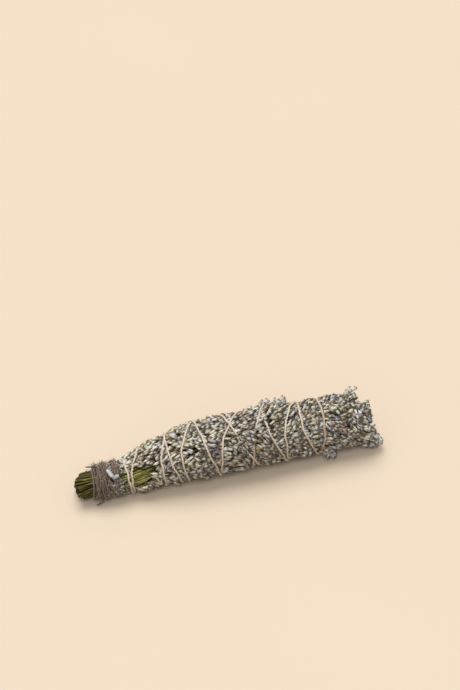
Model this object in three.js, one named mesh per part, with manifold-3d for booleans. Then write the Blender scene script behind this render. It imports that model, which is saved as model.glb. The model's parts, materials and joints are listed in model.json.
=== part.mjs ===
// A lavender smudge stick: dried lavender stems and flower spikes, bound with one natural twine.
// Millimetres, +Z up. The bundle lies along X on the plane z = 0, cut stems at -X and flower tips at +X.
// A place on the bundle is given as s, the distance from the cut ends, a radius from the bundle's
// own axis, and an angle round it, measured from +Y towards +Z.

import * as THREE from 'three';
import { mergeVertices } from 'three/addons/utils/BufferGeometryUtils.js';
import Module from 'manifold-3d';

const wasm = await Module();
wasm.setup();

// Outline of the bundle over its flowers: [distance along it, radius].
const OUTLINE = [
  [-4, 11.2], [12, 12.6], [34, 12.8], [43, 14.6], [52, 16.6], [64, 17.8], [78, 20.2], [95, 21.4],
  [114, 21.8], [130, 21.4], [148, 22.4], [169, 20.6], [205, 20.2], [218, 19.4], [233, 18],
];
const SIDE_LEAN = 0.45; // the side at -Y runs straight, so the axis shifts this much per mm of radius
const MIDDLE_RADIUS = 21;
const WEDGE_GAP = 0.17; // clear space on each side of the wedge that a spike fills
const END_GAP = 0.25; // clear space at each end of it

// Stems: square in section, as in all of the mint family.
const STEM_SIDE = 1.75;
const STEM_COUNT = 26;
const STEM_CIRCLE = 9.35; // radius of the circle of outer stems in the band
const FLOWER_STEM_CIRCLE = 8.9; // and under the lowest flowers
const STEM_FLUTE = 0.75; // depth of the valleys between the outer stems
const STEM_STUB = 6; // the outer stems' ends are sunk this far into the bundle
const STEM_CORE_END = 189;
const CUT_FACE = 3; // the packed middle of the bundle starts this far in, behind the uneven cut ends
const CUT_RAGGED = 1.8; // the cut ends differ by up to this much either way
const INNER_RINGS = [[6.8, 12], [4.1, 7], [1.4, 2]]; // radius and number of the inner stems' ends
const BARE_COLUMN = 7; // where green stems show, just past the band
const BARE_TOP = 57;
const BARE_STEMS = 4;
const BARE_SPREAD = 6; // degrees between them
const BARE_PATH = [[34, 8.9], [43, 11.8], [51, 12.2], [57, 9]]; // they bow out: [distance, radius]

// Flower spikes, in columns round the bundle and one after another along each column.
const COLUMNS = 12;
const COLUMN_ANGLE = 360 / COLUMNS;
const FIRST_COLUMN = -75; // degrees, so that two columns straddle the line that the bundle lies on
const FLOWER_START = 31.6;
const SPIKE_LENGTH = 48;
const FIRST_TIPS = [74, 56, 84, 62, 69, 78, 50, 86, 66, 80, 50, 64]; // end of the lowest spike of each column
const LAST_TIP = 223; // where the columns end
const TIP_SLANT = 7; // the side at -Y reaches further out by this much
const SHORTEST_SPIKE = 20;
const SPIKE_DEPTH = 8.3; // from the outline in to the packed stems
const CORE_GAP = 0.65; // between the packed stems and the flowers
const SPIKE_FLOOR = 10.25; // no spike lies nearer to the axis than this, over the outer stems
const SURFACE_BLOCK = { length: 300, width: 80, depth: 20 };
const FLAT_CUT = 1.7; // the two lowest columns would stand out this much further, and are pressed flat
// Tips that stand out: column, distance of the tip along the bundle, and how far out it stands.
const STRAYS = [[4, 165, 3.6], [4, 217, 7], [10, 194, 6], [9, 230, 4.2], [10, 227, 3.6]];
const STRAY_LENGTH = 11;
const INNER_SPIKES = 6; // round the middle one, seen only from the flower end
const INNER_START = 189.6;
const INNER_FLOOR = 5.2;
const INNER_ROOM = 0.7; // they end this far inside the outer spikes
const INNER_TIPS = [3.5, -1]; // their tips by turns, from where the columns end
const MIDDLE_SPIKE_RADIUS = 4.7; // of the middle spike

// Buds: the dried calyces that cover each spike, larger than life, as rows of leaning points.
const BUD_ROW = 4.7; // along the spike; a bud is two rows long
const BUD_LEAN = 1.9; // how far its mouth leans towards the tip
const BUD_RELIEF = 2.3; // how far its mouth stands out from the valleys between buds
const ROW_ANGLES = [-142, -104, -68, -34, 0, 34, 68, 104, 142, 180]; // round the spike; 0 is outward
const INSIDE_ANGLE = 120; // past this a spike lies against the stems, and has no buds
const ROOF_SAMPLES = [-0.8, -0.4, 0, 0.4, 0.8]; // across the wedge, as shares of its half width
const LEAST_DEPTH = 0.9; // of a spike where the string presses it on the stems
const OVERFILL = 0.4; // mouths reach this far past the outline before they are held to it
const OVERWIDE = 1.05; // and the sides this much past the wedge
const DEEPEST_VALLEY = 0.45; // no valley is nearer to the middle of its ring than this share
const LAST_ROW_SCALE = 0.45;
const FIRST_ROW_SCALE = 0.75;

// Twine: a band of close turns, a spiral out to the flower end and one back over it.
const TWINE_RADIUS = 0.95;
const TWINE_SIDES = 5;
const TWINE_SINK = 0.2; // its centre line lies this much inside the outline
const TWINE_STEPS = 7; // straight stretches in each half turn
const TWINE_LIFT = 1.1; // least height of its centre line over the surface
const TWINE_ROOM = 1.9; // flowers under it are pressed this far below its centre line
const TWINE_SIDEWAYS = 4.4; // and this far to each side
const LOWER_EDGE = 218; // degrees: where the string passes the lower edge, seen from the front
const BAND = { from: 8.9, to: 29.4, bore: 11.15, low: 11.7, high: 12.3, turns: 9, segments: 18 };
const BAND_WAVE = { along: 0.45, out: 0.12, round: 2, pitch: 1.7 }; // its turns wander this much
const EDGE = 0.01; // within this of the ring's ends and bore it stays plain
// Each time that the string crosses the front: its distance at the lower edge, half way, at the upper edge.
const PASSES = [
  [39.5, 39.3, 50], [63.5, 62, 71.5], [81, 77.2, 92], [105, 108.5, 128], [130, 132.5, 149],
  [157, 156.5, 171], [182, 187, 188], [181.5, 170.7, 173], [158, 144.8, 141], [137.5, 121.5, 113],
  [106, 96, 92], [77, 68.7, 67.5], [39.5, 36.3, 35.5],
];
const PASSES_OUT = 7; // of these; the rest are on its way back
const ROUTE_IN_BAND = 28.4; // where the string leaves the band and comes back into it
const TURN_ROUND_LAP = 0.06; // the two spirals share this many half turns to each side of the turning point
const BAND_CENTRE_RADIUS = 11.85;
// The two cut ends of the string: [distance, radius, angle] of each point.
const LONG_TAIL = [[22, 11.9, 206], [18, 13.4, 213], [13.5, 15.7, 220], [10.5, 16.7, 222]];
const SHORT_TAIL = [[14, 11.9, 48], [10.6, 12.6, 42], [7.8, 13.1, 38]];

const GREEN = { color: 0x5d6130, roughness: 0.85 };
const TWINE = { color: 0xb59b7e, roughness: 0.95 };
const FLOWERS = [
  { color: 0x8d9484, roughness: 0.95 },
  { color: 0x7f8893, roughness: 0.95 },
  { color: 0x8b8672, roughness: 0.95 },
  { color: 0x7c7a92, roughness: 0.95 },
];

// Small helpers

function randomFrom(seed) {
  let state = seed;
  return (low, high) => {
    state = (Math.imul(state, 1664525) + 1013904223) >>> 0;
    return low + ((high - low) * state) / 4294967296;
  };
}

const rad = THREE.MathUtils.degToRad;
const outlineCurve = new THREE.CubicInterpolant(OUTLINE.map((p) => p[0]), OUTLINE.map((p) => p[1]), 1);

function radiusAt(s) {
  return outlineCurve.evaluate(s)[0];
}

function axisY(s) {
  return SIDE_LEAN * (radiusAt(s) - MIDDLE_RADIUS);
}

function coreRadiusAt(s) {
  return Math.max(FLOWER_STEM_CIRCLE, radiusAt(s) - SPIKE_DEPTH - CORE_GAP);
}

function spikeFloorAt(s) {
  return Math.max(SPIKE_FLOOR, radiusAt(s) - SPIKE_DEPTH);
}

// The point at distance s, radius r and angle a (radians), or r along a and sideways u.
function place(s, r, a, u = 0) {
  const y = r * Math.cos(a) - u * Math.sin(a);
  const z = r * Math.sin(a) + u * Math.cos(a);
  return new THREE.Vector3(s, axisY(s) + y, radiusAt(s) + z);
}

function toSolid(geometry) {
  const bare = geometry.clone();
  bare.deleteAttribute('normal');
  bare.deleteAttribute('uv');
  const merged = mergeVertices(bare, 1e-4);
  const vertProperties = new Float32Array(merged.attributes.position.array);
  const triVerts = new Uint32Array(merged.index.array);
  return new wasm.Manifold(new wasm.Mesh({ numProp: 3, vertProperties, triVerts }));
}

function toGeometry(solid) {
  const mesh = solid.getMesh();
  const geometry = new THREE.BufferGeometry();
  geometry.setAttribute('position', new THREE.BufferAttribute(mesh.vertProperties, 3));
  geometry.setIndex(new THREE.BufferAttribute(mesh.triVerts, 1));
  geometry.computeVertexNormals();
  return geometry;
}

// The largest body of a solid, without loose scraps and with any sealed hollow filled.
function largestBody(solid) {
  const bodies = solid.simplify(0.02).decompose();
  return bodies.reduce((best, body) => (body.volume() > best.volume() ? body : best));
}

function middleOf(points) {
  return points.reduce((sum, point) => sum.add(point), new THREE.Vector3()).divideScalar(points.length);
}

// A closed solid through rings of points, each ring turning from +Y towards +Z, with a fan on each end.
// Each four-sided face is split along the diagonal that joins points of odd sum, ring and place.
function loft(rings) {
  const sides = rings[0].length;
  const last = (rings.length - 1) * sides;
  const firstMiddle = rings.length * sides;
  const index = [];
  for (let i = 0; i < rings.length - 1; i += 1) {
    for (let j = 0; j < sides; j += 1) {
      const a = i * sides + j;
      const b = i * sides + ((j + 1) % sides);
      if ((i + j) % 2 === 0) {
        index.push(a, b, a + sides, b, b + sides, a + sides);
      } else {
        index.push(a, b, b + sides, a, b + sides, a + sides);
      }
    }
  }
  for (let j = 0; j < sides; j += 1) {
    const next = (j + 1) % sides;
    index.push(firstMiddle, next, j, firstMiddle + 1, last + j, last + next);
  }
  const middles = [rings[0], rings[rings.length - 1]].map(middleOf);
  const geometry = new THREE.BufferGeometry().setFromPoints([...rings.flat(), ...middles]);
  geometry.setIndex(index);
  return toSolid(geometry);
}

function addMesh(parent, name, solid, look) {
  const material = new THREE.MeshStandardMaterial({ ...look, metalness: 0, flatShading: true });
  const mesh = new THREE.Mesh(toGeometry(solid), material);
  mesh.name = name;
  parent.add(mesh);
}

// Stems

// One square stem through [s, radius] stations at an angle round the bundle.
function makeStem(stations, angle, twist) {
  const corner = STEM_SIDE / Math.SQRT2;
  return loft(stations.map(([s, r]) => [0, 1, 2, 3].map((quarter) => {
    const turn = twist + (quarter * Math.PI) / 2;
    return place(s, r + corner * Math.cos(turn), angle, corner * Math.sin(turn));
  })));
}

// The packed stems as one body, with a rounded ridge for each stem of the outer circle.
function makeStemCore() {
  const stations = [CUT_FACE, BAND.to, 43, 64, 100, STEM_CORE_END];
  return loft(stations.map((s) => {
    const crest = s <= BAND.to ? STEM_CIRCLE + STEM_SIDE / 2 : coreRadiusAt(s);
    return Array.from({ length: STEM_COUNT * 2 }, (_, j) => (
      place(s, j % 2 ? crest - STEM_FLUTE : crest, (j / STEM_COUNT) * Math.PI)
    ));
  }));
}

function makeStemBundle() {
  const random = randomFrom(11);
  const solids = [makeStemCore()];
  for (let i = 0; i < STEM_COUNT; i += 1) {
    const angle = ((i + random(-0.1, 0.1)) / STEM_COUNT) * 2 * Math.PI;
    const start = random(-CUT_RAGGED, CUT_RAGGED);
    const stations = [[start, STEM_CIRCLE + random(-0.4, 0.1)], [STEM_STUB, STEM_CIRCLE - 0.2]];
    solids.push(makeStem(stations, angle, random(0, Math.PI / 2)));
  }
  for (const [ring, count] of INNER_RINGS) {
    for (let i = 0; i < count; i += 1) {
      const angle = ((i + random(-0.15, 0.15)) / count) * 2 * Math.PI;
      const stations = [[random(-CUT_RAGGED, CUT_RAGGED), ring], [CUT_FACE + 2, ring]];
      solids.push(makeStem(stations, angle, random(0, Math.PI / 2)));
    }
  }
  const middle = FIRST_COLUMN + BARE_COLUMN * COLUMN_ANGLE;
  for (let i = 0; i < BARE_STEMS; i += 1) {
    const angle = rad(middle + (i - (BARE_STEMS - 1) / 2) * BARE_SPREAD);
    solids.push(makeStem(BARE_PATH, angle, random(0, Math.PI / 2)));
  }
  return largestBody(wasm.Manifold.union(solids));
}

// Twine

// Half turns are counted from the first time that the string passes the lower edge.
const LAST_HALF_TURN = 2 * PASSES.length;
const routeCurve = new THREE.CubicInterpolant(
  [-1, ...PASSES.flatMap((_, i) => [2 * i, 2 * i + 0.5, 2 * i + 1]), LAST_HALF_TURN],
  [ROUTE_IN_BAND, ...PASSES.flat(), ROUTE_IN_BAND],
  1,
);
const TURN_ROUND = 2 * PASSES_OUT - 0.5;

// The string after a number of half turns.
function twineStation(halfTurns) {
  const s = routeCurve.evaluate(halfTurns)[0];
  const angle = rad(LOWER_EDGE) - Math.PI * halfTurns;
  const onFlowers = radiusAt(s) - TWINE_SINK;
  const overSurface = (radiusAt(s) - TWINE_LIFT) / Math.max(0.1, -Math.sin(angle));
  const r = s < BAND.to ? BAND_CENTRE_RADIUS : Math.min(onFlowers, overSurface);
  return { s, r, angle };
}

function twineStations(from, to) {
  const steps = Math.round((to - from) * TWINE_STEPS);
  return Array.from({ length: steps + 1 }, (_, i) => twineStation(from + ((to - from) * i) / steps));
}

function makeTube(points) {
  const section = new THREE.Shape(Array.from({ length: TWINE_SIDES }, (_, i) => {
    const turn = (i / TWINE_SIDES) * 2 * Math.PI;
    return new THREE.Vector2(TWINE_RADIUS * Math.cos(turn), TWINE_RADIUS * Math.sin(turn));
  }));
  const extrudePath = new THREE.CatmullRomCurve3(points);
  return toSolid(new THREE.ExtrudeGeometry(section, { steps: points.length - 1, extrudePath }));
}

function makeSpirals() {
  const spans = [[-1, TURN_ROUND + TURN_ROUND_LAP], [TURN_ROUND - TURN_ROUND_LAP, LAST_HALF_TURN]];
  return spans.map(([from, to]) => (
    makeTube(twineStations(from, to).map((t) => place(t.s, t.r, t.angle)))
  ));
}

function makeTail(points) {
  return makeTube(points.map(([s, r, angle]) => place(s, r, rad(angle))));
}

// The band: ridges of close turns round the stems, each a little wavy.
function makeBand() {
  const turnWidth = (BAND.to - BAND.from) / BAND.turns;
  const profile = [[BAND.from, BAND.bore], [BAND.from, BAND.low]];
  for (let i = 0; i < BAND.turns; i += 1) {
    profile.push([BAND.from + (i + 0.5) * turnWidth, BAND.high]);
    profile.push([BAND.from + (i + 1) * turnWidth, BAND.low]);
  }
  profile.push([BAND.to, BAND.bore]);
  const points = profile.map(([s, r]) => new THREE.Vector2(r, s));
  const lathe = new THREE.LatheGeometry([...points, points[0]].reverse(), BAND.segments);
  const position = lathe.attributes.position;
  for (let i = 0; i < position.count; i += 1) {
    const s = position.getY(i);
    const angle = Math.atan2(position.getZ(i), position.getX(i));
    const r = Math.hypot(position.getX(i), position.getZ(i));
    const onRidges = s > BAND.from + EDGE && s < BAND.to - EDGE && r > BAND.bore + EDGE;
    const wave = onRidges ? Math.sin(angle * BAND_WAVE.round + s * BAND_WAVE.pitch) : 0;
    const spot = place(s + BAND_WAVE.along * wave, r + BAND_WAVE.out * wave, angle);
    position.setXYZ(i, spot.x, spot.y, spot.z);
  }
  return toSolid(lathe);
}

function makeTwine() {
  const solids = [makeBand(), ...makeSpirals(), makeTail(LONG_TAIL), makeTail(SHORT_TAIL)];
  return largestBody(wasm.Manifold.union(solids));
}

// Flower spikes

// The greatest radius that stays clear of the string, round an angle at distance s.
function roofUnderTwine(angle, s) {
  const halfTurn = (rad(LOWER_EDGE) - angle) / Math.PI;
  const first = THREE.MathUtils.euclideanModulo(halfTurn + 1, 2) - 1;
  let roof = Infinity;
  for (let count = first; count <= LAST_HALF_TURN; count += 2) {
    const string = twineStation(count);
    if (Math.abs(string.s - s) < TWINE_SIDEWAYS) roof = Math.min(roof, string.r - TWINE_ROOM);
  }
  return roof;
}

// How far the spike's tip stands out at distance s.
function flareAt(wedge, s) {
  const t = Math.max(0, (s - wedge.to + STRAY_LENGTH) / STRAY_LENGTH);
  return wedge.flare * t * t;
}

// The outside of the spike's own space: the outline, or lower where the string passes over it.
function roofAt(wedge, turn, s) {
  return Math.min(wedge.roof(s) + wedge.press, roofUnderTwine(wedge.angle + turn, s));
}

// A point moved into the wedge that belongs to the spike.
function keepInWedge(spot, wedge) {
  const s = THREE.MathUtils.clamp(spot.s, wedge.from + END_GAP, wedge.to - END_GAP);
  const wanted = Math.atan2(spot.u, spot.r);
  const floor = wedge.floor(s);
  const roof = Math.max(floor + LEAST_DEPTH, roofAt(wedge, wanted, s));
  const r = THREE.MathUtils.clamp(Math.hypot(spot.r, spot.u), floor, roof);
  const room = wedge.half - WEDGE_GAP / r;
  return place(s, r + flareAt(wedge, s), wedge.angle + THREE.MathUtils.clamp(wanted, -room, room));
}

// One ring of points round the spike: bud mouths and valleys by turns, flush with the stems inside.
// Every point lies in its own direction from the middle of the ring, so a thin ring doesn't fold.
function makeRow(wedge, row, rows, random) {
  const start = wedge.from + END_GAP;
  const s = THREE.MathUtils.lerp(start, wedge.to - END_GAP - BUD_LEAN, row / rows);
  const floor = wedge.floor(s);
  const roofNear = (turn) => Math.min(roofAt(wedge, turn, s), roofAt(wedge, turn, s + BUD_LEAN));
  const lowestRoof = Math.min(...ROOF_SAMPLES.map((share) => roofNear(share * wedge.half)));
  const low = Math.max(LEAST_DEPTH, lowestRoof - floor) / 2;
  const centre = floor + low;
  const wide = (centre + low) * Math.tan(wedge.half) * OVERWIDE;
  const scale = row === rows ? LAST_ROW_SCALE : row === 0 ? FIRST_ROW_SCALE : 1;
  return ROW_ANGLES.map((degrees, j) => {
    const inside = Math.abs(degrees) > INSIDE_ANGLE;
    const mouth = (row + j) % 2 === 0 && !inside;
    const turn = rad(degrees + random(-5, 5));
    const roof = roofNear(Math.atan2(wide * Math.sin(turn), centre));
    const high = Math.abs(degrees) < 90 ? Math.max(low, roof - centre) : low;
    const outward = (high + OVERFILL) * Math.cos(turn);
    const sideways = wide * Math.sin(turn);
    const depth = (mouth || inside ? 0.25 : BUD_RELIEF) + random(-0.25, 0.25);
    const share = scale * Math.max(DEEPEST_VALLEY, 1 - depth / Math.hypot(outward, sideways));
    const lean = mouth ? BUD_LEAN + random(-0.5, 0.5) : random(-0.4, 0.2);
    return keepInWedge({ s: s + lean, r: centre + share * outward, u: share * sideways }, wedge);
  });
}

function makeSpike(wedge, seed) {
  const random = randomFrom(seed);
  const rows = Math.max(3, Math.round((wedge.to - wedge.from - BUD_LEAN) / BUD_ROW));
  return loft(Array.from({ length: rows + 1 }, (_, row) => makeRow(wedge, row, rows, random)));
}

// The wedges of one column, from the band to the flower end.
function columnWedges(column) {
  const degrees = FIRST_COLUMN + column * COLUMN_ANGLE;
  const angle = rad(degrees);
  const lowest = Math.sin(angle) < -Math.cos(rad(COLUMN_ANGLE * 0.6));
  const shape = { angle, half: rad(COLUMN_ANGLE / 2), floor: spikeFloorAt, roof: radiusAt };
  const random = randomFrom(column + 101);
  const columnEnd = LAST_TIP - TIP_SLANT * Math.cos(angle) + random(-2, 2);
  const wedges = [];
  let from = column === BARE_COLUMN ? BARE_TOP : FLOWER_START;
  let to = FIRST_TIPS[column];
  while (from < columnEnd - SHORTEST_SPIKE) {
    const nearEnd = to > columnEnd - SHORTEST_SPIKE;
    const stray = STRAYS.find((entry) => entry[0] === column && Math.abs(entry[1] - to) < SPIKE_LENGTH / 3);
    const end = stray ? stray[1] : nearEnd ? columnEnd : to;
    wedges.push({ ...shape, from, to: end, flare: stray ? stray[2] : 0, press: lowest ? FLAT_CUT : 0 });
    from = end;
    to = end + SPIKE_LENGTH;
  }
  return wedges;
}

// The surface that the bundle lies on, as a block to cut the lowest flowers flat.
function makeSurface() {
  const { length, width, depth } = SURFACE_BLOCK;
  const slab = new THREE.BoxGeometry(length, width, depth);
  slab.translate(LAST_TIP / 2, 0, -depth / 2);
  return toSolid(slab);
}

function addSpikes(parent) {
  const surface = makeSurface();
  for (let column = 0; column < COLUMNS; column += 1) {
    columnWedges(column).forEach((wedge, row) => {
      const seed = column * 17 + row * 5 + 3;
      const spike = wedge.press > 0 ? makeSpike(wedge, seed).subtract(surface) : makeSpike(wedge, seed);
      const look = FLOWERS[(column + 2 * row) % FLOWERS.length];
      addMesh(parent, `spike_${String(column + 1).padStart(2, '0')}_${row + 1}`, largestBody(spike), look);
    });
  }
}

// The spike in the very middle, round its own axis.
function makeMiddleSpike() {
  const random = randomFrom(77);
  const rows = Math.round((LAST_TIP - INNER_START) / BUD_ROW);
  return loft(Array.from({ length: rows + 1 }, (_, row) => ROW_ANGLES.map((degrees, j) => {
    const mouth = (row + j) % 2 === 0 && row > 0;
    const scale = row === rows ? LAST_ROW_SCALE : 1;
    const r = scale * (MIDDLE_SPIKE_RADIUS - (mouth ? 0 : BUD_RELIEF / 2));
    const s = THREE.MathUtils.lerp(INNER_START, LAST_TIP, row / rows) + (mouth ? BUD_LEAN : 0);
    return place(s, r * random(0.85, 1), rad(degrees));
  })));
}

function addInnerSpikes(parent) {
  const floor = () => INNER_FLOOR;
  const roof = (s) => spikeFloorAt(s) - INNER_ROOM;
  for (let i = 0; i < INNER_SPIKES; i += 1) {
    const to = LAST_TIP + INNER_TIPS[i % 2];
    const angle = (i / INNER_SPIKES) * 2 * Math.PI;
    const half = Math.PI / INNER_SPIKES;
    const wedge = { angle, half, floor, roof, from: INNER_START, to, flare: 0, press: 0 };
    const spike = makeSpike(wedge, 900 + i);
    addMesh(parent, `inner_spike_${i + 1}`, largestBody(spike), FLOWERS[i % FLOWERS.length]);
  }
  addMesh(parent, 'middle_spike', makeMiddleSpike(), FLOWERS[0]);
}

const bundle = new THREE.Group();
addMesh(bundle, 'stem_bundle', makeStemBundle(), GREEN);
addMesh(bundle, 'twine', makeTwine(), TWINE);
addSpikes(bundle);
addInnerSpikes(bundle);

// The origin is under the middle of the bundle, on the surface.
const box = new THREE.Box3().setFromObject(bundle, true);
const middle = box.getCenter(new THREE.Vector3());
bundle.position.set(-middle.x, -middle.y, 0);

const group = new THREE.Group();
group.add(bundle);

export default group;
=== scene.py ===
"""A lavender smudge stick: dried flower spikes, cut stems and natural twine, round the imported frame.

Lengths in the values below are millimetres and angles are degrees; a mesh is scaled to metres when it is
made. A place on the bundle is (s, r, a): the distance from the cut ends, the radius from the bundle's own
axis, and the angle round it, from +Y towards +Z. Functions take that angle in radians.
"""

import json
import math

import bpy
import numpy as np
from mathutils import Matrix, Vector


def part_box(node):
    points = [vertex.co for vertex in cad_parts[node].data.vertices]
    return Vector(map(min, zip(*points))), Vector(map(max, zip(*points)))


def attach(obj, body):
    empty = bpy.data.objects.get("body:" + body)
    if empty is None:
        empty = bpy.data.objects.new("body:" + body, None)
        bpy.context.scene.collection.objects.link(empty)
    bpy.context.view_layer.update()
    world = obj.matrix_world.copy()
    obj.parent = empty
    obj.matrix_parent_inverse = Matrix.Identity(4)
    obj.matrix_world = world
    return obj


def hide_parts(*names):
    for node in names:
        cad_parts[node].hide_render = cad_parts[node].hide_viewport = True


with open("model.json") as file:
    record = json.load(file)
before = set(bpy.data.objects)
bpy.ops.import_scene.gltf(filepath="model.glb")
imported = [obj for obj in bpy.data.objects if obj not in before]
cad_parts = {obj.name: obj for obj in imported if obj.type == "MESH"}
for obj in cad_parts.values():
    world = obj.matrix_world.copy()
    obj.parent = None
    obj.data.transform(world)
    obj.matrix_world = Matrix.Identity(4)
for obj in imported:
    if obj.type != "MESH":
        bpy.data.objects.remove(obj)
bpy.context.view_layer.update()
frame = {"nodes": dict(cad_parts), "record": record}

MM = 0.001
RANDOM = np.random.default_rng(20)
uniform, normal = RANDOM.uniform, RANDOM.normal
CLEARANCE = 0.05  # from what the bundle lies on
FAR = 99  # beyond any length here
SLANTED = (0.31, 0.22, 0.93)  # a direction that no path follows
AHEAD = np.array([1.0, 0, 0])

# The bundle, as in the solids

OUTLINE = [
    (-4, 11.2), (12, 12.6), (34, 12.8), (43, 14.6), (52, 16.6), (64, 17.8), (78, 20.2), (95, 21.4),
    (114, 21.8), (130, 21.4), (148, 22.4), (169, 20.6), (205, 20.2), (218, 19.4), (233, 18),
]
SIDE_LEAN = 0.45
MIDDLE_RADIUS = 21
ORIGIN = (114.0355, 0.6331)  # distance and sideways place of the frame's origin
COLUMNS = 12
FIRST_COLUMN = -75  # its angle
SPIKE_DEPTH = 8.3
SPIKE_FLOOR = 10.25
NODE_GAP = 0.25  # a node ends this much short of its spike's room
FLAT_CUT, FLAT_WITHIN = 0.2, 18  # columns this close to straight down are pressed flat
INNER_SPIKES = 6  # round the middle one
INNER_FLOOR = 5.2
INNER_ROOM = 0.7  # they end this far inside the outer spikes
MIDDLE_FLOOR, MIDDLE_ROOF = 0.5, 4.6

# Spikes that stand out or end short, by column, counted from 0, and row

STRAYS = {  # over what length their tips stand out, how far, and how wide they are there
    (4, 3): (11, 2.4, 2.8), (10, 4): (12, 3.5, 3.0), (9, 4): (16, 3.6, 9), (10, 5): (18, 4.0, 9),
}
NO_STRAY = (11, 0, 9)
TRIMS = {(4, 4): 6, (5, 4): 2, (6, 5): -1.5, (7, 4): 2.5, (8, 4): 3, (9, 4): 2.5}  # short of the node's end
HEADS = {  # flower heads that poke out: places (s, r, a) of foot and tip of each
    (4, 3): [((155, 18.5, 44), (164, 25.2, 42)), ((144, 19.5, 46), (152.5, 24.2, 42))],
    (4, 4): [((209, 17.0, 43), (220.3, 23.0, 40))],
    (10, 4): [((185, 17.5, 217), (194.5, 26.0, 215))],
    (9, 4): [((221, 15.5, 203), (232.0, 19.4, 209))],
    (10, 5): [((217, 16.5, 222), (229.0, 22.2, 219)), ((221, 15.0, 214), (232.0, 18.6, 218))],
}
HEAD_WHORLS = [(11.4, 5, 40), (8.8, 6, 36), (5.8, 4, 15)]  # distance back from the tip, calyces, their lean
HEAD_LENGTH, HEAD_RADIUS = (5.0, 6.4), (0.95, 1.25)  # of those calyces
HEAD_HUES = {"blue": 0.8, "straw": 0.6}

# The string over the flowers

TWINE_RADIUS = 0.95
CORD_RADIUS = 0.82  # of the string as it shows, drawn tight
TWINE_SINK = 0.2  # its centre line lies this much inside the outline
STRING_OFF_FLOOR = 0.15  # its underside is at least this high
LOWER_EDGE = 218  # the angle that its half turns are counted from
PASSES = [  # over the front: its distance at the lower edge, half way and at the upper edge
    (39.5, 39.3, 50), (63.5, 62, 71.5), (81, 77.2, 92), (105, 108.5, 128), (130, 132.5, 149),
    (157, 156.5, 171), (182, 187, 188), (181.5, 170.7, 173), (158, 144.8, 141), (137.5, 121.5, 113),
    (106, 96, 92), (77, 68.7, 67.5), (39.5, 36.3, 35.5),
]
PASSES_OUT = 7  # of these; the rest are on its way back
TURN_ROUND = 2 * PASSES_OUT - 0.5
LAST_HALF_TURN = 2 * len(PASSES)
STRING_TURNS = np.arange(-1, LAST_HALF_TURN + 1e-6, 0.011)  # half turns at the points of its path
CROSSING_LIFT, CROSSING_WIDTH = 1.3, 1.8  # where it rides over itself on its way back
LIFT_SMOOTHING = 4  # points to each side
WANDER = [(0.25, 19, 0), (0.18, 31, 2)]  # waves along the bundle: height, rate and phase
RIPPLE = [(0.12, 43, 0)]  # and outward
COVERED = [(8.54, 0.09), (16.82, 0.15), (18.45, 0.1)]  # flowers lie over it: half turns, spread to each side
COVER_DEPTH = 2.4
OPEN_DEPTH = 0.6  # sunk less than this, it holds the flowers down
PRESS_REACH, PRESS_SLOPE = 4, 1.3  # to this far beside it, less and less

# The band and the tails

ROUTE_IN_BAND = 28.4
BAND_CENTRE_RADIUS = 11.85
BAND_END = 29.4
BAND_CORD = 0.72  # radius of its turns
BAND_TURNS = [  # from and to distance, number, radius, wave, phase and first angle in radians
    (9.6, 29.4, 5.2, 10.3, 0.5, 0.4, 3.6), (28.6, 10.4, 3.6, 10.8, 1.9, 2.2, 1.2),
    (11.0, 29.8, 2.8, 11.3, 3.2, 4.0, 0.3), (27.4, 12.2, 2.1, 11.8, 4.4, 0.9, 2.4),
    (17.0, 30.5, 1.6, 12.1, 3.8, 3.0, 5.0), (11.4, 22.0, 1.4, 12.2, 4.0, 1.5, 0.9),
    (13.0, 26.0, 1.2, 12.5, 5.5, 5.2, 1.9),
]
BAND_STEP = 0.02  # of a turn, between points of the path
BAND_WIDENS = (12, 24)  # it gets wider between these distances
BAND_WIDER, BAND_HIGH = 0.95, 65  # by twice this at most, at this angle
BAND_SWAY = [(0.8, 2.1, 0)]
BAND_RIPPLE = [(0.3, 9.3), (0.2, 31)]  # height and rate
LONG_TAIL = [(22, 11.9, 206), (18, 13.4, 213), (13.5, 15.7, 220), (10.5, 16.7, 222)]
SHORT_TAIL = [(14, 11.9, 48), (10.6, 12.6, 42), (7.8, 13.1, 38)]
TAIL_POINTS = 26

# The make of the twine

CORD_SIDES = 12
PLY_PITCH, BAND_PITCH = 5.0, 3.6
PLY_FLOOR = 0.66  # radius between the two plies, as a share
SWELL = [(0.07, 0.9, 1), (0.05, 2.3, 0)]  # waves of its thickness
CORD_BULGE = 0.1  # at its ends
STRING_FIBRES, BAND_FIBRES = (1100, 2.0), (360, 4.6)  # number on a cord, and greatest length
FIBRE_WIDTHS = np.array([0.075, 0.07, 0.055, 0.02])
FIBRE_BOW = (0.25, 0.75)
STRING_BROWN = 0.08  # how brown the string is everywhere
EDGE_PAINTED_SHADE = (0.08, 0.3, 0.6)  # painted shade on the string's lower side: half turns past the lower edge, spread, and how much browner
BROWN_PASSES = [(12.5, 0.35, 0.6), (8.5, 0.4, 0.3), (17.0, 0.5, 0.25)]  # and on single passes

# Calyces: where they lie

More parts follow.
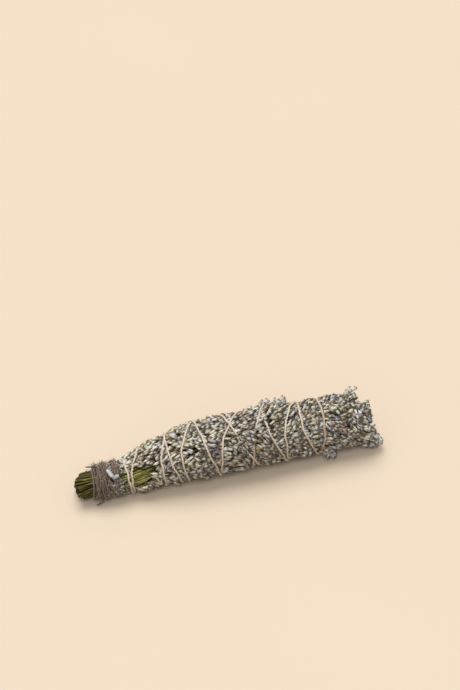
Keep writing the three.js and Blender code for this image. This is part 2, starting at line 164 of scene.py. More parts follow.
ROW_STEP = 3.0  # along the bundle, between rows of calyx tips
CALYX_GAP = 1.8  # across it
WIDER_BENEATH = (1.3, 1.25)  # factors on both for the deeper layers
FIRST_ROW, LAST_ROW = 3, 0.4  # how far inside the spike's ends
LAYERS = (0, 2.2)  # depths
END_LAYERS, END_DEPTH = (4.8, 6.8), 9  # more, this far back from where a column ends
END_ROUND, END_FALL = 5, 0.25  # over what length and by what share the outline curves in at the end
STRAY_FROM_ROW = (0.8, 0.4)  # along the bundle and across it
SPARSE = (31, 58)  # calyces get denser between these distances
SPARSE_SHARE = 0.42
DENSITY, DENSITY_BENEATH = 0.95, 1.1
WINDOW = {"from": 31, "to": 56.5, "low": 126, "high": 184}  # no flowers here: green stems show
RAGGED = 2
LAST_ASTRAY, ASTRAY_SHARE = (32, 42), 0.45  # but a few, down to none at the second distance
HIDDEN_SIDE = -0.75  # the sine of angles on the underside is lower than this

# Calyces: how they lie

CALYX_LENGTH, CALYX_RADIUS = (4.8, 7.0), (0.82, 1.14)
LARGER_AT_END = (190, 220, 0.14)  # from and to distance, how much thicker
CALYX_BEND = 0.5
LEAN, LEAN_SPREAD, LEAN_LIMITS = 21, 6, (3, 52)  # outward
STRAY_LEAN = 4  # more for each millimetre that a tip stands out
FLOW = [(11, 0.11, 2, 0), (8, 0.23, -3, 1)]  # sideways lean: waves' height, rates along and round, phase
YAW_SPREAD = 8
LEAN_PATCHES = [  # distance, angle, spread of each, and the lean to one side
    (216, 130, 30, 60, 34), (124, 130, 15, 32, 36), (66, 150, 12, 30, -16), (165, 100, 16, 30, -14),
]
SHINGLE_TIP, SHINGLE_FOOT = (0.9, 9), (0.7, 8)  # how far spikes rise and sink there, and over what length
CALYX_RISE, CALYX_SINK = 0.5, 1.2  # of a tip, over the outline and at random under that
PRESSED_AT = [(0.06, 0.35), (0.45, 1.0), (0.8, 0.8)]  # shares of the length from the tip, and of the radius
PRESS_LIMIT = 4.5
BUNCH_AREA = 26  # square millimetres to a bunch of calyces that lie the same way
BUNCH_STRETCH = 0.6  # bunches are longer along the bundle
BUNCH_SPREADS = (19, 8, 0.15, 0.95, 1.0)  # of their sideways and outward lean, tone, height and hue
HOLLOWS = (-1.8, 0.9)  # the lowest and highest that a bunch lies
DEEPER_AT_END = (180, 212, 0.7)  # from and to distance, how much lower the low ones get

# Calyces: what they are like

OPEN_SHARE, OPEN_AT_TIP = 0.3, 0.4  # anywhere, and more at the tip of a spike
TONE = (0.57, 0.27)  # mean and spread
# painted shade: calyces beneath the outer layer get a lower tone
PAINTED_SHADE_BENEATH = 0.1
TOP_PAINTED_LIGHT = (0.24, 72, 40)  # painted light: how much paler the calyces are on top, round which angle, and spread
BLUER_AT_END = (175, 225, 0.18)  # from and to distance, how much larger the share of blue-grey ones
BUNCH_HUE = 0.25
VIOLET_PATCHES = [(102, 98, 12, 30), (198, 50, 9, 25), (205, 150, 14, 30)]  # distance, angle, spreads
VIOLET_BASE, VIOLET_IN_PATCH = 0.03, 0.2
BLUE_AMOUNT, STRAW_AMOUNT = (0.4, 1), (0.3, 1)
# the last pair: how strongly painted shade darkens the calyces beneath the outer ones
VIOLET_AMOUNT, FAINT_VIOLET, PAINTED_DEEP_SHADE_AMOUNT = (0.3, 0.8), (0, 0.1), (0.5, 0.9)
PAINTED_SHADE_LOST_AT_END, PALES_OVER = (0.2, 0.9), 5  # share of their painted shade that outer and inner ones lose at the end
SHARES = {  # of blue-grey, straw-coloured and violet calyces, for each of the record's flower slots
    "sage_buds": (0.26, 0.28, 0.7), "grey_blue_buds": (0.5, 0.18, 1.0),
    "straw_buds": (0.2, 0.46, 0.6), "violet_buds": (0.42, 0.22, 1.6),
}

# Profiles of pods: height, radius and depth of the grooves between ribs

RIB_RISE = 0.07  # ribs reach this much further than a rim at height 1 or more
CLOSED_PROFILE = [
    (0, 0, 0), (0.08, 0.42, 0.2), (0.42, 1.0, 0.3), (0.78, 0.86, 0.32), (0.97, 0.36, 0.2), (1.04, 0, 0),
]
OPEN_PROFILE = [
    (0, 0, 0), (0.06, 0.38, 0.2), (0.35, 0.95, 0.28), (0.75, 1.0, 0.32), (1.0, 0.78, 0.2), (0.86, 0.4, 0),
    (0.7, 0, 0),
]
PLAIN_PROFILE = [(0, 0, 0), (0.1, 0.5, 0.1), (0.55, 1.0, 0.15), (0.93, 0.5, 0.1), (1.0, 0, 0)]
COROLLA_PROFILE = [(0.8, 0, 0), (0.85, 0.42, 0), (1.1, 0.72, 0.35), (1.28, 0.5, 0.4), (1.15, 0, 0)]

# What lies among the calyces

PETAL_SHARES = (0.45, 0.008)  # open calyces with dry petals, of the violet ones and of the others
PETAL_LENGTH, PETAL_RADIUS = 1.02, 0.85  # as shares of their calyx's
BRACT_SHARE = 0.45
BRACT_LENGTH, BRACT_WIDTH = (3, 5), (0.7, 1.4)
BITS_IN_SPIKE = 4
BIT_LENGTH, BIT_DRIFT, BIT_RADIUS = (4, 7), 0.35, 0.22
STALK_RADIUS, STALK_POINTS = 0.55, 12
STALK_START, STALK_STOP = 0.4, 4  # how far inside the spike's two ends

# Stems

STEM_RINGS = [(9.2, 22), (7.0, 18), (4.8, 13), (2.6, 7), (0.4, 1)]  # radius and number
STEM_RADIUS, STEM_SIDES, STEM_CORNERS = 1.08, 8, 0.16
STEM_STATIONS = [7, 9, 20, BAND_END, 34, 43, 52, 64, 82, 100, 130, 160, 186]
STEMS_IN_BAND = 9.0  # greatest radius there
CORE_RADIUS, CORE_GAP = 8.9, 0.65  # they fan out to this much inside the spikes' floor
BARE_END = 9  # the cut ends spread a little before this distance
FRONT = 124  # a gap opens between the cut ends round this angle
FACING = 130.5  # the side from which the cut's shape is seen
CUT_SHAPE = [  # how far a stem lies below the middle, seen from there, and where it is cut
    (-11, 5), (-9.5, 2.6), (-7, -0.8), (-5, -1.8), (-3.4, -2.7), (-1.3, -2.7), (-0.5, -1.4), (0.5, 0.4),
    (1.7, -0.6), (3, -2.5), (6.5, -1.2), (9.2, 1.6), (11, 5),
]
SHOWN_STEMS = 8  # in the window between the flowers
SHOWN_PATH = [(30, 9.2), (36, 10.9), (48, 12.6), (WINDOW["to"], 10.5)]
SHORT_STEMS = 12  # others whose lower ends show just past the band
SHORT_DEPTHS = [(0, 3.4), (0.4, 2.4), (1, 5.5)]  # share of the length, depth

# Bits that cling to the band

LEAF_CHIPS = [(22.0, 93, 8.6, 1.9, 70), (24.4, 124, 5.4, 1.6, -12)]  # s, a, length, half width, turn
CHIP_RADIUS = 14.6
BITS_ON_BAND = 90
LOOSE_CALYCES = 75

# Colours, as ramps of (place, colour) or as one colour

SAGE = [
    (0, (0.12, 0.09, 0.025)), (0.3, (0.35, 0.345, 0.155)), (0.65, (0.61, 0.66, 0.42)), (1, (0.84, 0.9, 0.8)),
]
BLUE = [
    (0, (0.08, 0.07, 0.1)), (0.35, (0.28, 0.275, 0.39)), (0.7, (0.54, 0.555, 0.8)), (1, (0.78, 0.85, 1)),
]
STRAW = [
    (0, (0.15, 0.085, 0.025)), (0.35, (0.43, 0.3, 0.11)), (0.7, (0.7, 0.57, 0.29)), (1, (0.87, 0.8, 0.58)),
]
SPECKS = (0.17, 0.12, 0.045)
# painted shade: the grooves between a calyx's ribs are darkened
GROOVE_PAINTED_SHADE = [(0.1, (0.54, 0.43, 0.28)), (0.75, (1, 1, 1))]
# the pale wool on the ribs, made paler still as a painted highlight
WOOL_AND_HIGHLIGHT = (0.92, 0.95, 0.92)
# darker at the foot of each calyx: partly its own browner colour, partly painted shade in the gaps
FOOT_BROWN_AND_SHADE = [(0, (0.37, 0.235, 0.08)), (0.34, (1, 1, 1))]
VIOLET = (0.16, 0.14, 0.26)
PAINTED_DEEP_SHADE = (0.075, 0.043, 0.013)  # painted shade on the calyces beneath the outer ones
# painted shade inside the mouth of a pod, also laid on the tip of a closed one
INSIDE_PAINTED_SHADE = (0.07, 0.05, 0.032)
DRY_SHADOW = (0.06, 0.05, 0.02)
DRY_BRACT = [(0.3, (0.13, 0.085, 0.045)), (0.55, (0.29, 0.21, 0.13)), (0.8, (0.48, 0.39, 0.29))]
DRY_COROLLA = [(0.3, (0.10, 0.09, 0.15)), (0.55, (0.21, 0.19, 0.29)), (0.8, (0.42, 0.40, 0.53))]
DRY_STALK = [(0.3, (0.14, 0.12, 0.05)), (0.7, (0.30, 0.27, 0.13))]
DRY_BIT = [(0.3, (0.20, 0.14, 0.08)), (0.7, (0.46, 0.36, 0.24))]
PALE_LEAF = [(0.3, (0.22, 0.235, 0.225)), (0.55, (0.42, 0.44, 0.43))]
DULL_LEAF = [(0.3, (0.14, 0.13, 0.09)), (0.6, (0.36, 0.36, 0.30)), (0.8, (0.55, 0.52, 0.48))]
OLIVE = [(0.36, (0.004, 0.003, 0.001)), (0.52, (0.023, 0.018, 0.002)), (0.70, (0.15, 0.13, 0.022))]
FRESH_OLIVE = [(0.34, (0.02, 0.02, 0.003)), (0.5, (0.165, 0.155, 0.032)), (0.68, (0.46, 0.43, 0.18))]
AGED_STEM = (0.06, 0.042, 0.012)
PITH = (0.16, 0.14, 0.05)
STRING = [(0.3, (0.50, 0.41, 0.30)), (0.5, (0.77, 0.70, 0.585)), (0.7, (0.93, 0.905, 0.82))]
# dark patches on the string, also its painted shade in the groove between the plies and at its lower edge
STRING_STAIN_AND_SHADE = (0.27, 0.18, 0.10)
WORN_STRING = [(0.3, (0.05, 0.028, 0.017)), (0.5, (0.22, 0.155, 0.108)), (0.7, (0.55, 0.45, 0.35))]
# dark patches on the band, also its painted shade in the groove between the plies
WORN_STAIN_AND_SHADE = (0.035, 0.02, 0.012)
SURFACE = [(0.3, (0.534, 0.4437, 0.3476)), (0.7, (0.546, 0.454, 0.357))]

# Floor, light and camera

FLOOR_SIZE = 4.0  # metres to each side
CAMERA_AZIMUTH, CAMERA_ELEVATION = -15, 49.5
CAMERA_DISTANCE = 1.438  # this and the next three are metres
AIM_HEIGHT, AIM_RIGHT, AIM_UP = 0.021, 0.0034, 0.0738
CAMERA_LENS, SENSOR_WIDTH = 100, 36
# Lights far away: elevation, azimuth from +X towards +Y, strength, width in degrees, and colour.
SOFTBOX = (70, 95, 2.9, 42, (1.0, 0.99, 0.97))
FILL = (62, 250, 1.1, 24, (1.0, 0.98, 0.95))
SKY_COLOR = (1.0, 0.985, 0.96, 1)
SKY_STRENGTH = 0.52


# Curves and places


def smooth_curve(points):
    """The cubic through (x, y) points that the solids use too."""
    xs, ys = (np.array(column, float) for column in zip(*points))

    def value(x):
        x = np.asarray(x, float)
        i = np.clip(np.searchsorted(xs, x, side="right") - 1, 0, len(xs) - 2)
        before, after = np.maximum(i - 1, 0), np.minimum(i + 2, len(xs) - 1)
        step = xs[i + 1] - xs[i]
        p = (np.clip(x, xs[0], xs[-1]) - xs[i]) / step
        first, last = i == 0, i == len(xs) - 2
        weight_before = np.where(first, -0.5, 0.5 * step / np.maximum(xs[i] - xs[before], 1e-9))
        weight_after = np.where(last, -0.5, 0.5 * step / np.maximum(xs[after] - xs[i + 1], 1e-9))
        rise_before = ys[i] - np.where(first, ys[i + 1], ys[before])
        rise_after = np.where(last, ys[i], ys[after]) - ys[i + 1]
        return (
            ys[i] + (ys[i + 1] - ys[i]) * (-(p**3) + 1.5 * p**2 + 0.5 * p)
            + rise_before * weight_before * (p**3 - 2 * p**2 + p) + rise_after * weight_after * (p**3 - p**2)
        )

    return value


radius_at = smooth_curve(OUTLINE)
route_at = smooth_curve([
    (-1, ROUTE_IN_BAND),
    *((2 * i + 0.5 * j, s) for i, row in enumerate(PASSES) for j, s in enumerate(row)),
    (LAST_HALF_TURN, ROUTE_IN_BAND),
])


def place(s, r, a):
    """World points, in millimetres, of places on the bundle."""
    s, r, a = np.broadcast_arrays(*(np.asarray(v, float) for v in (s, r, a)))
    radius = radius_at(s)
    y = SIDE_LEAN * (radius - MIDDLE_RADIUS) + r * np.cos(a)
    z = radius + r * np.sin(a)
    return np.stack([s - ORIGIN[0], y - ORIGIN[1], z], axis=-1)


def floor_at(s):
    """The radius at which the outer spikes start."""
    return np.maximum(SPIKE_FLOOR, radius_at(s) - SPIKE_DEPTH)


def over_surface(r, s, a, room):
    """Radii r, less where a part with this room round it would touch what the bundle lies on."""
    return np.minimum(r, (radius_at(s) - room) / np.maximum(0.1, -np.sin(a)))


def outward_at(a):
    """Directions straight out of the bundle at angles a."""
    return np.stack([0 * a, np.cos(a), np.sin(a)], -1)


def sideways_at(a):
    """Directions round the bundle at angles a."""
    return np.stack([0 * a, -np.sin(a), np.cos(a)], -1)


def unit(vectors):
    return vectors / np.maximum(np.linalg.norm(vectors, axis=-1, keepdims=True), 1e-9)


def combined(*parts):
    """The sum of parts: amounts by row and point, each times a direction for its row."""
    return sum(amounts[..., None] * directions[:, None, :] for amounts, directions in parts)


def waves(x, terms):
    """The sum of sine waves at x, from the height, rate and phase of each."""
    return sum(height * np.sin(x * rate + phase) for height, rate, phase in terms)


def bell(x, middle, spread):
    return np.exp(-(((x - middle) / spread) ** 2))


def growing(s, growth):
    """An amount that grows from nothing between two distances, from (start, end, amount)."""
    return np.interp(s, growth[:2], (0, growth[2]))


# Meshes


def new_object(name, data):
    thing = bpy.data.objects.new(name, data)
    bpy.context.scene.collection.objects.link(thing)
    return thing


class Heap:
    """Many small parts that become one piece: points, triangles, a finish for each, and values."""

    def __init__(self):
        self.points, self.faces, self.finish, self.values = [], [], [], []
        self.count = 0

    def add(self, points, faces, finish, **values):
        points = np.asarray(points, float).reshape(-1, 3)
        self.points.append(points)
        self.faces.append(np.asarray(faces, int) + self.count)
        self.finish.append(np.full(len(faces), finish))
        self.values.append({k: np.broadcast_to(np.asarray(v, float), len(points)) for k, v in values.items()})
        self.count += len(points)

    def piece(self, name, materials):
        points = (np.concatenate(self.points) * MM).astype(np.float32)
        faces = np.concatenate(self.faces).astype(np.int32)
        mesh = bpy.data.meshes.new(name)
        mesh.vertices.add(len(points))
        mesh.vertices.foreach_set("co", points.ravel())
        mesh.loops.add(faces.size)
        mesh.loops.foreach_set("vertex_index", faces.ravel())
        mesh.polygons.add(len(faces))
        mesh.polygons.foreach_set("loop_start", np.arange(0, faces.size, 3, dtype=np.int32))
        mesh.polygons.foreach_set("material_index", np.concatenate(self.finish).astype(np.int32))
        mesh.polygons.foreach_set("use_smooth", np.ones(len(faces), bool))
        for key in sorted({k for values in self.values for k in values}):
            parts = [v.get(key, np.zeros(len(p))) for v, p in zip(self.values, self.points)]
            attribute = mesh.attributes.new(key, "FLOAT", "POINT")
            attribute.data.foreach_set("value", np.concatenate(parts).astype(np.float32))
        mesh.update()
        mesh.validate()
        for material in materials:
            mesh.materials.append(material)
        return new_object(name, mesh)


def ring_faces(rings, sides):
    """Triangles of a tube whose points come ring by ring, then a middle point for each end."""
    i, j = np.meshgrid(np.arange(rings - 1), np.arange(sides), indexing="ij")
    a = (i * sides + j).ravel()
    b = (i * sides + (j + 1) % sides).ravel()
    edge = np.arange(sides)
    after = (edge + 1) % sides
    last = (rings - 1) * sides
    first_middle = np.full(sides, rings * sides)
    return np.concatenate([
        np.stack([a, b, b + sides], 1),
        np.stack([a, b + sides, a + sides], 1),
        np.stack([first_middle, after, edge], 1),
        np.stack([first_middle + 1, last + edge, last + after], 1),
    ])


def copies_of(faces, size, count):
    """The triangles of a number of parts that have the same faces, each with this many points."""
    return (faces[None] + (np.arange(count) * size)[:, None, None]).reshape(-1, 3)


def turned(profile, sides):
    """A ribbed pod round its own Z; its last two rings and its tip are marked for the painted shade of the
    inside of its mouth.
    """
    turn = np.arange(sides) / sides * 2 * np.pi
    rib = (np.arange(sides) % 2 == 0).astype(float)
    points = []
    for z, radius, groove in profile[1:-1]:
        r = radius * (1 - groove * (1 - rib))
        height = z + (RIB_RISE * rib if z >= 1 else 0 * rib)
        points.append(np.stack([r * np.cos(turn), r * np.sin(turn), height], 1))
    points.append([[0, 0, profile[0][0]], [0, 0, profile[-1][0]]])
    rings = len(profile) - 2
    return {
        "points": np.concatenate(points),
        "faces": ring_faces(rings, sides),
        "rib": np.concatenate([np.tile(rib, rings), [0.5, 0]]),
        "inside": np.concatenate([np.repeat(np.arange(rings) >= rings - 2, sides), [0, 1]]),
    }


def leaf_template(stations, cup, thickness):
    """A thin closed leaf along Z, cupped across, from the (z, half width) of its stations."""
    rings = []
    for z, w in stations:
        rings.append([(-w, cup * w, z), (0, -thickness, z), (w, cup * w, z), (0, thickness * 0.4, z)])
    points = np.array(rings, float).reshape(-1, 3)
    points = np.concatenate([points, [(0, 0, stations[0][0])], [(0, 0, stations[-1][0])]])
    flat = np.zeros(len(points))
    return {"points": points, "faces": ring_faces(len(stations), 4), "rib": flat, "inside": flat}


CLOSED_CALYX = turned(CLOSED_PROFILE, 10)
OPEN_CALYX = turned(OPEN_PROFILE, 10)
PLAIN_CALYX = turned(PLAIN_PROFILE, 6)
COROLLA = turned(COROLLA_PROFILE, 8)
BRACT = leaf_template([(0, 0.25), (0.35, 1.0), (0.7, 0.75), (1.0, 0.08)], 0.35, 0.12)
CHIP = leaf_template([(0, 0.5), (0.2, 0.95), (0.75, 1.0), (1.0, 0.6)], 0.2, 0.1)


def scatter(heap, template, origins, directions, lengths, radii, finish, bend=0.0, **values):
    """Copies of a pod at origins, each along its direction, turned at random round it."""
    count = len(origins)
    forward = unit(directions)
    helper = unit(np.cross(forward, unit(normal(size=(count, 3)))))
    other = np.cross(forward, helper)
    local = template["points"]
    z = local[:, 2][None, :]
    x = local[:, 0][None, :] * radii[:, None] + bend * (z * (1 - z))
    y = local[:, 1][None, :] * radii[:, None]
    points = origins[:, None, :] + combined((x, helper), (y, other), (z * lengths[:, None], forward))
    points[..., 2] += np.maximum(0, CLEARANCE - points[..., 2].min(axis=1, initial=FAR))[:, None]
    size = len(local)
    spread = {k: np.repeat(v, size) for k, v in values.items()}
    fixed = {
        "rib": np.tile(template["rib"], count),
        "inside": np.tile(template["inside"], count),
        "along": np.tile(np.clip(local[:, 2], 0, 1.3), count),
    }
    heap.add(points, copies_of(template["faces"], size, count), finish, **fixed, **spread)


def tube_frames(path):
    """The direction of a path at each point and two sideways ones, without twist."""
    along = unit(np.gradient(path, axis=0))
    side = unit(np.cross(along[0], SLANTED))
    sides = []
    for direction in along:
        side = unit(side - direction * np.dot(side, direction))
        sides.append(side)
    sides = np.array(sides)
    return along, sides, np.cross(along, sides)


def tube_points(path, radii, turn, bulge=0.0):
    """Points round a path, ring by ring, and its two ends."""
    along, side, other = tube_frames(path)
    ring = path[:, None, :] + combined((radii * np.cos(turn), side), (radii * np.sin(turn), other))
    return np.concatenate([ring.reshape(-1, 3), path[:1] - along[:1] * bulge, path[-1:] + along[-1:] * bulge])


def add_tube(heap, path, radius, finish, sides, corners=0.0, spin=0.0, **values):
    """A plain tube along a path; corners is how much further its four corners stand out."""
    turn = np.arange(sides) / sides * 2 * np.pi + spin
    shape = 1 - corners + corners * np.abs(np.cos(2 * (turn - spin)))
    points = tube_points(path, np.full((len(path), 1), radius) * shape, turn)
    points[:, 2] = np.maximum(points[:, 2], CLEARANCE)
    heap.add(points, ring_faces(len(path), sides), finish, **values)


# Finishes


class Finish:
    """A material and the nodes that colour it."""

    def __init__(self, name, roughness, specular=0.25):
        self.material = bpy.data.materials.new(name)
        self.material.use_nodes = True
        self.nodes = self.material.node_tree.nodes
        self.links = self.material.node_tree.links
        self.shader = self.nodes["Principled BSDF"]
        self.shader.inputs["Roughness"].default_value = roughness
        self.shader.inputs["Specular IOR Level"].default_value = specular

    def put(self, socket, value):
        """Give a socket a number, a colour or vector, or what another node gives."""
        if isinstance(value, (int, float)):
            socket.default_value = value
        elif isinstance(value, tuple):
            socket.default_value = (*value, 1)[:len(socket.default_value)]
        else:
            self.links.new(value, socket)

    def node(self, kind, output, inputs, **settings):
        """One output of a new node with these inputs and settings."""
        node = self.nodes.new("ShaderNode" + kind)
        for key, value in settings.items():
            setattr(node, key, value)
        for key, value in inputs.items():
            self.put(node.inputs[key], value)
        return node.outputs[output]

    def attribute(self, name):
        return self.node("Attribute", "Fac", {}, attribute_name=name)

    def noise(self, scale, detail=3, stretch=None):
        vector = self.node("TexCoord", "Object", {})
        if stretch:
            vector = self.node("Mapping", "Vector", {"Vector": vector, "Scale": stretch})
        return self.node("TexNoise", "Fac", {"Vector": vector, "Scale": scale, "Detail": detail})

    def ramp(self, value, stops):
        node = self.nodes.new("ShaderNodeValToRGB")
        elements = node.color_ramp.elements
        for i, (at, color) in enumerate(stops):
            element = elements[i] if i < len(elements) else elements.new(at)
            element.position = at
            element.color = (*color, 1)
        self.links.new(value, node.inputs["Fac"])
        return node.outputs["Color"]

    def mix(self, factor, first, second, blend="MIX"):
        inputs = {"Factor": factor, "A": first, "B": second}
        return self.node("Mix", "Result", inputs, data_type="RGBA", blend_type=blend)

    def times(self, first, second):
        """The product of two values, between 0 and 1."""
        return self.node("Math", "Value", {0: first, 1: second}, operation="MULTIPLY", use_clamp=True)

    def bump(self, height, strength, distance):
        inputs = {"Height": height, "Strength": strength, "Distance": distance}
        self.put(self.shader.inputs["Normal"], self.node("Bump", "Normal", inputs))

    def done(self, color):
        """The material, with this as its colour."""
        self.put(self.shader.inputs["Base Color"], color)
        return self.material


def calyx_finish(name):
    """Ribbed calyces: painted shade between the ribs, woolly ribs paler with a painted highlight, each one a
    shade of its own.
    """
    finish = Finish(name, 0.8, 0.15)
    tone = finish.attribute("tone")
    shade = finish.mix(finish.attribute("blue"), finish.ramp(tone, SAGE), finish.ramp(tone, BLUE))
    shade = finish.mix(finish.attribute("straw"), shade, finish.ramp(tone, STRAW))
    mottled = finish.mix(finish.times(finish.noise(900), 0.5), shade, SPECKS)
    rib = finish.attribute("rib")
    # painted shade in the grooves between the ribs
    grooved = finish.mix(1.0, mottled, finish.ramp(rib, GROOVE_PAINTED_SHADE), "MULTIPLY")
    # wool on the ribs, partly a painted highlight
    ribbed = finish.mix(finish.times(rib, finish.noise(1800)), grooved, WOOL_AND_HIGHLIGHT)
    # the feet: browner, and darkened as painted shade
    browned_and_shaded_foot = finish.mix(1.0, ribbed, finish.ramp(finish.attribute("along"), FOOT_BROWN_AND_SHADE), "MULTIPLY")
    violet = finish.mix(finish.attribute("violet"), browned_and_shaded_foot, VIOLET)
    # painted shade on the calyces beneath the outer ones
    shaded = finish.mix(finish.attribute("deep"), violet, PAINTED_DEEP_SHADE)
    finish.shader.inputs["Sheen Weight"].default_value = 0.16
    finish.shader.inputs["Sheen Roughness"].default_value = 0.6
    finish.bump(finish.noise(2600, 2), 0.5, 0.0002)
    # painted shade: the inside of the mouth, and a closed pod's tip, take a dark colour
    return finish.done(finish.mix(finish.attribute("inside"), shaded, INSIDE_PAINTED_SHADE))


def simple_finish(name, colors, scale, roughness):
    """A dry plant surface: its colours spread by a noise at the given scale, darker with a higher tone."""
    finish = Finish(name, roughness)
    texture = finish.noise(scale, 4)
    shade = finish.ramp(texture, colors)
    finish.bump(texture, 0.6, 0.0002)
    return finish.done(finish.mix(finish.times(finish.attribute("tone"), 0.55), shade, DRY_SHADOW))


def stem_finish():
    """Olive stems with fine lines along them, browner with age, and pale pith at the cut."""
    finish = Finish("dried_stem", 0.55, 0.12)
    lines = finish.noise(300, 4, (0.12, 4, 4))
    green = finish.mix(finish.attribute("fresh"), finish.ramp(lines, OLIVE), finish.ramp(lines, FRESH_OLIVE))
    brown = finish.mix(finish.times(finish.attribute("tone"), 0.6), green, AGED_STEM)
    at_cut = finish.ramp(finish.attribute("cut"), [(0.0, (0, 0, 0)), (0.5, (1, 1, 1))])
    finish.bump(lines, 0.5, 0.0003)
    return finish.done(finish.mix(at_cut, brown, PITH))


def twine_finish(name, colors, stain_and_shade):
    """Twisted natural fibre: streaks along the cord, with painted shade in the groove between its plies."""
    finish = Finish(name, 0.9)
    streaks = finish.noise(1500, 5)
    patched = finish.mix(finish.times(finish.noise(110, 2), 0.5), finish.ramp(streaks, colors), stain_and_shade)
    toned = finish.mix(finish.times(finish.attribute("tone"), 0.75), patched, stain_and_shade)
    finish.shader.inputs["Sheen Weight"].default_value = 0.2
    finish.bump(streaks, 0.8, 0.0003)
    # painted shade in the groove between the plies
    return finish.done(finish.mix(finish.times(finish.attribute("groove"), 0.6), toned, stain_and_shade))


# Twine


def covered(half_turns):
    """How far the string has sunk into the flowers after a number of half turns."""
    return COVER_DEPTH * sum(bell(half_turns, middle, spread) for middle, spread in COVERED)


def twine_station(half_turns, lift=0.0):
    """Distance, radius and angle of the string after a number of half turns."""
    half_turns = np.asarray(half_turns, float)
    s = route_at(half_turns)
    a = math.radians(LOWER_EDGE) - np.pi * half_turns
    on_flowers = radius_at(s) - TWINE_SINK - covered(half_turns)
    wanted = np.where(s < BAND_END, BAND_CENTRE_RADIUS, on_flowers) + lift
    return s, over_surface(wanted, s, a, TWINE_RADIUS + STRING_OFF_FLOOR), a


def roof_under_twine(a, s):
    """The greatest radius below the string at angles a and distances s."""
    half_turn = (math.radians(LOWER_EDGE) - a) / np.pi
    first = np.mod(half_turn + 1, 2) - 1
    roof = np.full(np.shape(s), float(FAR))
    for turn in range(0, LAST_HALF_TURN + 2, 2):
        count = np.minimum(first + turn, LAST_HALF_TURN)
        string_s, string_r, _ = twine_station(count)
        beside = np.abs(string_s - s)
        low = string_r - TWINE_RADIUS + np.maximum(0, beside - 0.5 * TWINE_RADIUS) * PRESS_SLOPE
        presses = (covered(count) < OPEN_DEPTH) & (first + turn <= LAST_HALF_TURN) & (beside < PRESS_REACH)
        roof = np.where(presses, np.minimum(roof, low), roof)
    return roof


def add_cord(heap, path, radius, finish, tone, pitch=PLY_PITCH):
    """A two-ply cord along a path, with one tone or one for each point; returns its length."""
    lengths = np.concatenate([[0], np.cumsum(np.linalg.norm(np.diff(path, axis=0), axis=1))])
    turn = np.arange(CORD_SIDES) / CORD_SIDES * 2 * np.pi
    twist = lengths / pitch * 2 * np.pi
    swell = 1 + waves(lengths, SWELL)
    lobe = np.abs(np.cos(turn[None, :] - twist[:, None]))
    points = tube_points(path, radius * swell[:, None] * np.maximum(lobe, PLY_FLOOR), turn, CORD_BULGE)
    # groove: 1 between the plies, where the finish paints shade
    groove = np.concatenate([(1 - lobe).ravel(), [0, 0]])
    if np.ndim(tone):
        tone = np.concatenate([np.repeat(tone, CORD_SIDES), tone[:1], tone[-1:]])
    heap.add(points, ring_faces(len(path), CORD_SIDES), finish, groove=groove, tone=tone)
    return lengths[-1]


def add_fibres(heap, path, count, reach, finish, tone):
    """Loose fibres that stand off a cord: thin curved spindles of three sides."""
    along, side, other = tube_frames(path)
    at = RANDOM.integers(2, len(path) - 2, count)
    turn = uniform(0, 2 * np.pi, count)
    out = np.cos(turn)[:, None] * side[at] + np.sin(turn)[:, None] * other[at]
    lean = along[at] * RANDOM.choice([-1, 1], count)[:, None]
    length = uniform(0.5, 1, count) * reach
    start = path[at] + out * TWINE_RADIUS * 0.6
    steps = np.linspace(0, 1, len(FIBRE_WIDTHS))
    bow = uniform(*FIBRE_BOW, count)
    arch = np.sin(steps * np.pi * 0.7) * (length * bow)[:, None]
    spine = start[:, None, :] + combined((steps * length[:, None], lean), (arch, out))
    across = np.cross(lean, out)
    ring = []
    for corner in np.arange(3) / 3 * 2 * np.pi:
        sideways = math.cos(corner) * across + math.sin(corner) * out
        ring.append(spine + FIBRE_WIDTHS[None, :, None] * sideways[:, None, :])
    ring = np.stack(ring, axis=2)
    ends = np.stack([spine[:, 0], spine[:, -1]], axis=1)
    points = np.concatenate([ring.reshape(count, -1, 3), ends], axis=1)
    points[..., 2] = np.maximum(points[..., 2], CLEARANCE)
    faces = copies_of(ring_faces(len(steps), 3), points.shape[1], count)
    heap.add(points, faces, finish, groove=0.0, tone=tone)


def string_tone():
    """How brown the string is at each point of its path: more at the lower edge, as painted shade, and on
    some passes.
    """
    past_edge, spread, amount = EDGE_PAINTED_SHADE
    # painted shade: browner round the string's lower edge, on each turn
    brown = STRING_BROWN + amount * bell((STRING_TURNS - past_edge + 1) % 2, 1, spread)
    for middle, spread, amount in BROWN_PASSES:
        brown = brown + amount * bell(STRING_TURNS, middle, spread)
    return np.clip(brown, 0, 1)


def string_lift():
    """How much the string rises at each point of its path, to ride over itself on its way back."""
    s = route_at(STRING_TURNS)
    lift = np.zeros(len(STRING_TURNS))
    for k in np.flatnonzero(STRING_TURNS > TURN_ROUND):
        earlier = np.arange(STRING_TURNS[k] % 2 - 2, TURN_ROUND, 2)
        earlier = earlier[earlier >= -1]
        gap = np.min(np.abs(route_at(earlier) - s[k]), initial=FAR)
        lift[k] = CROSSING_LIFT * bell(gap, 0, CROSSING_WIDTH) * (s[k] > BAND_END)
    points = 2 * LIFT_SMOOTHING + 1
    smooth = np.convolve(np.pad(lift, LIFT_SMOOTHING, mode="edge"), np.ones(points) / points, mode="valid")
    return np.maximum(lift, smooth)


def string_path():
    """The string from the band out to the flower end and back."""
    s, r, a = twine_station(STRING_TURNS, string_lift())
    r = r + waves(STRING_TURNS, RIPPLE)
    return place(s + waves(STRING_TURNS, WANDER), over_surface(r, s, a, TWINE_RADIUS), a)


